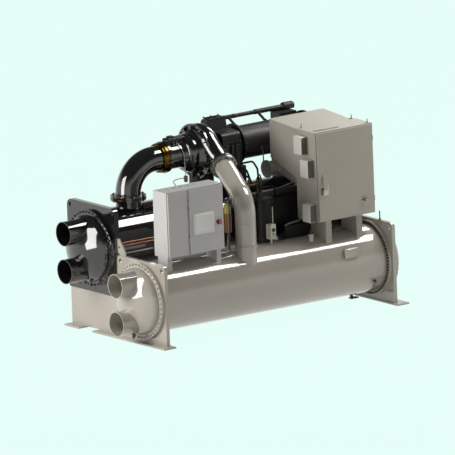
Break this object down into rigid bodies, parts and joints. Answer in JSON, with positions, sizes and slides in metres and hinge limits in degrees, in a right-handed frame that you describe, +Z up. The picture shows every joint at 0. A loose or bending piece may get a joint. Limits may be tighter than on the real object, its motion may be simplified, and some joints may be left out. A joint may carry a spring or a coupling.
{
  "type": "water-cooled centrifugal chiller",
  "caption": "Fixed water chiller: condenser and evaporator shells on end plates, centrifugal compressor on top, control panel and drive cabinet with hinged doors.",
  "frame": {"origin": "centre of the bounding box's bottom, on the floor under the foot plates", "axes": "+X along the shells from the water nozzles to the return boxes, +Y from the condenser at the front to the evaporator at the back, +Z up"},
  "size_m": [4.477, 2.19, 2.48],
  "materials": {
    "shell_paint": "satin grey beige enamel",
    "black_paint": "gloss black enamel over insulation",
    "black_gloss": "gloss black enamel on castings",
    "gray_pipe": "satin grey enamel",
    "gold_ring": "yellow passivated ring",
    "panel_paint": "light grey powder coat",
    "drive_paint": "grey beige powder coat",
    "steel": "plated steel",
    "screen": "pale bezel with a dark display",
    "red_plastic": "red moulded plastic",
    "brass": "satin",
    "copper": "drawn copper",
    "filter_brown": "bronze lacquer",
    "filter_yellow": "yellow lacquer",
    "valve_box": "beige enamel"
  },
  "bodies": {
    "chiller": {"near_end_plate": "shell_paint", "far_end_plate": "shell_paint", "near_tube_sheet": "black_paint", "far_tube_sheet": "black_paint", "feet": "shell_paint", "lifting_lug": "shell_paint", "condenser_shell": "shell_paint", "evaporator_shell": "black_paint", "shell_collars": "black_paint", "condenser_nozzles": "shell_paint", "condenser_inlet_box": "shell_paint", "evaporator_nozzles": "black_paint", "evaporator_inlet_box": "black_paint", "condenser_return_box": "shell_paint", "evaporator_return_box": "black_paint", "suction_stub": "black_paint", "suction_gasket": "gold_ring", "suction_elbow": "black_paint", "inlet_band": "gold_ring", "guide_vane_housing": "black_gloss", "compressor_volute": "black_gloss", "discharge_outlet": "black_gloss", "compressor_casing": "black_gloss", "motor_housing": "black_gloss", "motor_end_cover": "black_gloss", "terminal_box": "black_gloss", "motor_saddles": "black_paint", "crossover_pipe": "black_gloss", "oil_pipes": "black_paint", "discharge_pipe": "gray_pipe", "discharge_flange": "gray_pipe", "discharge_stub": "shell_paint", "control_box": "panel_paint", "control_hinges": "steel", "control_fixed_panel": "panel_paint", "control_legs": "panel_paint", "drive_cabinet": "drive_paint", "drive_hinges": "steel", "rear_hood": "drive_paint", "side_cowls": "drive_paint", "drive_legs": "drive_paint", "cable_duct": "drive_paint", "economizer": "black_paint", "economizer_legs": "black_paint", "economizer_rail": "black_paint", "brass_valves": "brass", "float_drum": "black_paint", "oil_cooler": "black_paint", "filter_body": "filter_brown", "filter_cap": "filter_yellow", "filter_pipe": "black_paint", "level_valve": "valve_box", "copper_tubes": "copper"},
    "drive_door_leaf": {"drive_door": "drive_paint", "drive_door_knuckles": "steel", "drive_latch": "steel"},
    "control_door_leaf": {"control_door": "panel_paint", "control_door_knuckles": "steel", "control_screen": "screen", "control_handle": "red_plastic"}
  },
  "joints": [
    {"name": "drive_door_hinge", "type": "hinge", "parent": "chiller", "child": "drive_door_leaf", "pos_m": [1.7565, -0.818, 1.215], "axis": [0, 0, 1], "range_deg": [0, 110]},
    {"name": "control_door_hinge", "type": "hinge", "parent": "chiller", "child": "control_door_leaf", "pos_m": [-1.1905, -0.77, 1.106], "axis": [0, 0, -1], "range_deg": [0, 110]}
  ]
}
